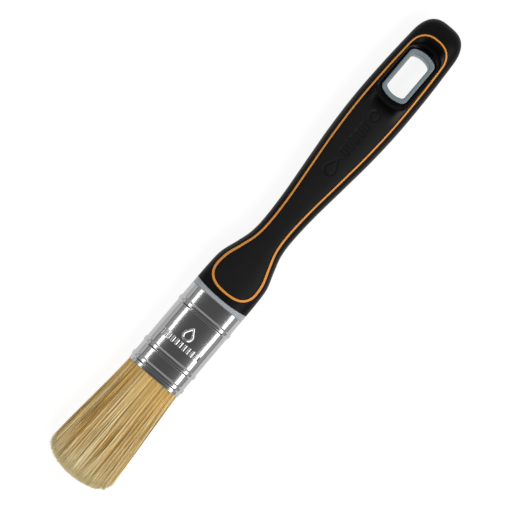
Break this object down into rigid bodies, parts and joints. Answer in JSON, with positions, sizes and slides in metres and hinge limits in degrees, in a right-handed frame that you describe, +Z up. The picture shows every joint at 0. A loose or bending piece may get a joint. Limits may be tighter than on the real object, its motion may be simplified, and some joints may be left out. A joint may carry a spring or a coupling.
{
  "type": "paint brush",
  "caption": "Flat oval paint brush with natural bristles, a beaded steel ferrule and a soft-grip moulded handle with a hang hole.",
  "frame": {"origin": "on the surface that the brush lies on, under the middle of its length and width", "axes": "+X from the bristle tips to the hang hole, +Y across the brush, +Z up out of its front face"},
  "size_m": [0.235, 0.0302, 0.0145],
  "materials": {
    "core_plastic": "fine satin moulded",
    "glue": "set glue",
    "frame_rubber": "soft matt",
    "stripe_plastic": "satin moulded",
    "pad_rubber": "soft matt",
    "ferrule_metal": "bright nickel plate",
    "resin": "cast resin",
    "strip_wood": "sawn",
    "bristle": "natural hog bristle"
  },
  "bodies": {
    "root": {"handle_core": "core_plastic", "tenon_bond": "glue", "outer_grip": "frame_rubber", "front_stripe": "stripe_plastic", "back_stripe": "stripe_plastic", "front_pad": "pad_rubber", "back_pad": "pad_rubber", "ferrule": "ferrule_metal", "epoxy_set": "resin", "spacer_strip": "strip_wood", "front_bristles": "bristle", "back_bristles": "bristle"}
  },
  "joints": []
}
